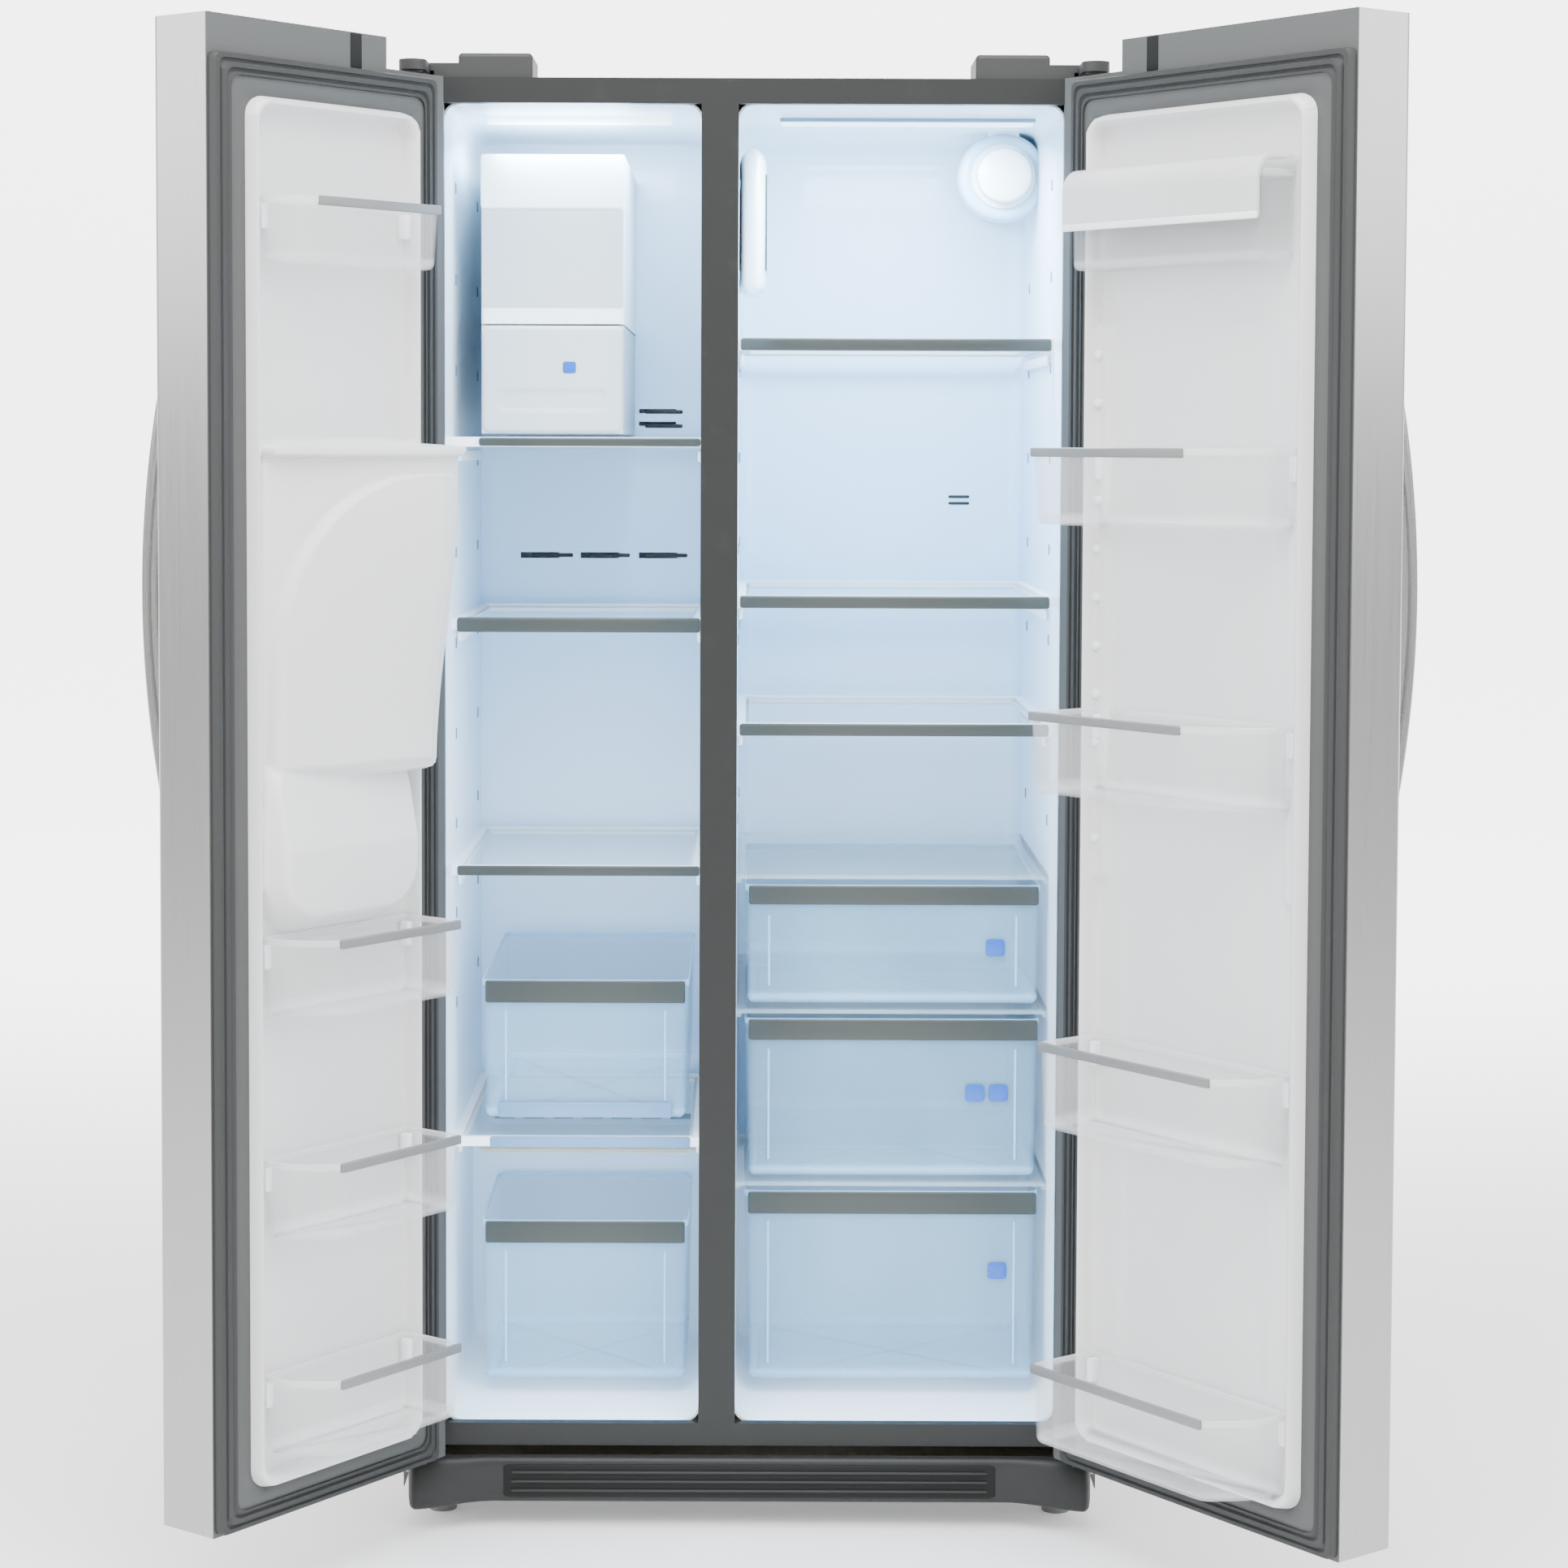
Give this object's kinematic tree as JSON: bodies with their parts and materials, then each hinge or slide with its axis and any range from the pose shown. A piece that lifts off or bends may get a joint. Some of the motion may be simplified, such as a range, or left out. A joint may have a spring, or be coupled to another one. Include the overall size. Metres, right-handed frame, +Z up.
{
  "type": "side by side refrigerator",
  "caption": "Two-door refrigerator with freezer left and fridge right, doors open, shelves, drawers, door bins, ice maker, dispenser and bowed handles.",
  "frame": {"origin": "on the floor, below the middle of the cabinet's front face", "axes": "+X to the right seen from the front, +Y to the back, +Z up"},
  "size_m": [1.4185, 1.1147, 1.766],
  "materials": {
    "cabinet_paint": "fine-textured grey enamel",
    "zinc_steel": "bright zinc-plated sheet",
    "frame_paint": "satin dark grey enamel",
    "liner_white": "semi-gloss thermoformed white",
    "door_liner_white": "semi-gloss thermoformed white",
    "foam": "rigid urethane foam",
    "door_steel": "vertical brushed stainless",
    "handle_steel": "brushed stainless bar",
    "gasket_grey": "matt magnetic gasket",
    "grille_dark": "dark grey moulding",
    "cover_dark": "dark grey moulding",
    "hinge_steel": "grey coated pressed steel",
    "roller_plastic": "hard nylon",
    "leg_steel": "zinc-plated screw with plastic pad",
    "shelf_glass": "clear tempered glass",
    "shelf_plastic": "white shelf rim",
    "drawer_clear": "clear moulded polystyrene",
    "bin_clear": "clear moulded polystyrene",
    "ice_white": "white moulding",
    "auger_metal": "cast and tumbled",
    "duct_white": "white moulding",
    "lens": "frosted light lens",
    "filter_white": "white moulding",
    "dispenser_dark": "dark grey moulding",
    "panel_black": "black touch panel",
    "paddle_grey": "grey moulding",
    "compressor_black": "black enamel",
    "coil_metal": "finned tube",
    "condenser_black": "black coated tube",
    "motor_grey": "motor can",
    "fan_plastic": "fan moulding",
    "pan_plastic": "drain pan moulding",
    "valve_white": "valve moulding",
    "inlet_black": "inlet moulding"
  },
  "bodies": {
    "cabinet": {"cabinet_shell": "cabinet_paint", "back_panel": "zinc_steel", "front_frame": "frame_paint", "freezer_liner": "liner_white", "fridge_liner": "liner_white", "foam_insulation": "foam", "base_pan": "zinc_steel", "toe_grille": "grille_dark", "top_hinges": "hinge_steel", "bottom_hinges": "hinge_steel", "hinge_covers": "cover_dark", "fridge_shelf_glass": "shelf_glass", "fridge_shelf_frames": "shelf_plastic", "crisper_covers": "drawer_clear", "freezer_shelf_glass": "shelf_glass", "freezer_shelf_frames": "shelf_plastic", "evaporator_cover": "duct_white", "evaporator_coil": "coil_metal", "fan_motors": "motor_grey", "compressor": "compressor_black", "condenser_coil": "condenser_black", "drain_pan": "pan_plastic", "machine_cover": "zinc_steel", "water_valve": "valve_white", "power_inlet": "inlet_black", "ice_maker": "ice_white", "air_duct_tower": "duct_white", "light_bar": "lens", "filter_housing": "duct_white"},
    "front_rollers": {"front_rollers": "roller_plastic"},
    "rear_rollers": {"rear_rollers": "roller_plastic"},
    "levelling_legs": {"levelling_legs": "leg_steel"},
    "freezer_door": {"freezer_door_skin": "door_steel", "freezer_door_foam": "foam", "freezer_door_liner": "door_liner_white", "freezer_door_gasket": "gasket_grey", "freezer_door_handle": "handle_steel", "freezer_door_bins": "bin_clear", "dispenser_housing": "dispenser_dark", "control_panel": "panel_black"},
    "dispenser_paddle": {"dispenser_paddle": "paddle_grey"},
    "ice_flap": {"ice_flap": "paddle_grey"},
    "drip_tray": {"drip_tray": "paddle_grey"},
    "fridge_door": {"fridge_door_skin": "door_steel", "fridge_door_foam": "foam", "fridge_door_liner": "door_liner_white", "fridge_door_gasket": "gasket_grey", "fridge_door_handle": "handle_steel", "fridge_door_bins": "bin_clear"},
    "dairy_lid": {"dairy_lid": "bin_clear"},
    "deli_drawer": {"deli_drawer": "drawer_clear"},
    "upper_crisper": {"upper_crisper": "drawer_clear"},
    "lower_crisper": {"lower_crisper": "drawer_clear"},
    "freezer_basket": {"freezer_basket": "drawer_clear"},
    "freezer_drawer": {"freezer_drawer": "drawer_clear"},
    "ice_bin": {"ice_bin": "ice_white"},
    "ice_auger": {"ice_auger": "auger_metal"},
    "evaporator_fan": {"evaporator_fan": "fan_plastic"},
    "condenser_fan": {"condenser_fan": "fan_plastic"},
    "filter_cartridge": {"filter_cartridge": "filter_white"}
  },
  "joints": [
    {"name": "freezer_door_hinge", "type": "hinge", "parent": "cabinet", "child": "freezer_door", "pos_m": [-0.399, -0.042, 0.9], "axis": [0, 0, -1], "range_deg": [-127, 1]},
    {"name": "fridge_door_hinge", "type": "hinge", "parent": "cabinet", "child": "fridge_door", "pos_m": [0.399, -0.042, 0.9], "axis": [0, 0, 1], "range_deg": [-127, 1]},
    {"name": "dispenser_paddle_press", "type": "hinge", "parent": "freezer_door", "child": "dispenser_paddle", "pos_m": [-0.51188, -0.16354, 1.196], "axis": [-0.6018, -0.7986, 0], "range_deg": [0, 10], "stiffness_Nm_per_rad": 0.5},
    {"name": "ice_flap_swing", "type": "hinge", "parent": "freezer_door", "child": "ice_flap", "pos_m": [-0.50349, -0.16986, 1.252], "axis": [0.6018, 0.7986, 0], "range_deg": [0, 60], "stiffness_Nm_per_rad": 0.02, "springref_deg": -5.73},
    {"name": "drip_tray_slide", "type": "slide", "parent": "freezer_door", "child": "drip_tray", "axis": [-0.7986, 0.6018, 0], "range_m": [0, 0.055]},
    {"name": "dairy_lid_hinge", "type": "hinge", "parent": "fridge_door", "child": "dairy_lid", "pos_m": [0.49344, -0.23379, 1.613], "axis": [-0.6018, 0.7986, 0], "range_deg": [0, 75]},
    {"name": "deli_drawer_slide", "type": "slide", "parent": "cabinet", "child": "deli_drawer", "axis": [0, -1, 0], "range_m": [0, 0.24]},
    {"name": "upper_crisper_slide", "type": "slide", "parent": "cabinet", "child": "upper_crisper", "axis": [0, -1, 0], "range_m": [0, 0.24]},
    {"name": "lower_crisper_slide", "type": "slide", "parent": "cabinet", "child": "lower_crisper", "axis": [0, -1, 0], "range_m": [0, 0.2]},
    {"name": "freezer_basket_slide", "type": "slide", "parent": "cabinet", "child": "freezer_basket", "axis": [0, -1, 0], "range_m": [0, 0.24]},
    {"name": "freezer_drawer_slide", "type": "slide", "parent": "cabinet", "child": "freezer_drawer", "axis": [0, -1, 0], "range_m": [0, 0.2]},
    {"name": "ice_bin_slide", "type": "slide", "parent": "cabinet", "child": "ice_bin", "axis": [0, -1, 0], "range_m": [0, 0.3]},
    {"name": "filter_cartridge_slide", "type": "slide", "parent": "cabinet", "child": "filter_cartridge", "axis": [0, -1, 0], "range_m": [0, 0.24]},
    {"name": "ice_auger_spin", "type": "hinge", "parent": "ice_bin", "child": "ice_auger", "pos_m": [-0.2455, 0.3, 1.36], "axis": [0, 1, 0], "continuous": true},
    {"name": "evaporator_fan_spin", "type": "hinge", "parent": "cabinet", "child": "evaporator_fan", "pos_m": [-0.212, 0.56, 1.01], "axis": [0, 1, 0], "continuous": true},
    {"name": "condenser_fan_spin", "type": "hinge", "parent": "cabinet", "child": "condenser_fan", "pos_m": [-0.075, 0.536, 0.174], "axis": [0, 1, 0], "continuous": true},
    {"name": "front_rollers_spin", "type": "hinge", "parent": "cabinet", "child": "front_rollers", "pos_m": [0, 0.115, 0.022], "axis": [1, 0, 0], "continuous": true},
    {"name": "rear_rollers_spin", "type": "hinge", "parent": "cabinet", "child": "rear_rollers", "pos_m": [0, 0.625, 0.022], "axis": [1, 0, 0], "continuous": true},
    {"name": "levelling_legs_height", "type": "slide", "parent": "cabinet", "child": "levelling_legs", "axis": [0, 0, 1], "range_m": [0, 0.012]}
  ],
  "couplings": [
    {"joint": "ice_flap_swing", "follows": "dispenser_paddle_press", "ratio": 6}
  ]
}
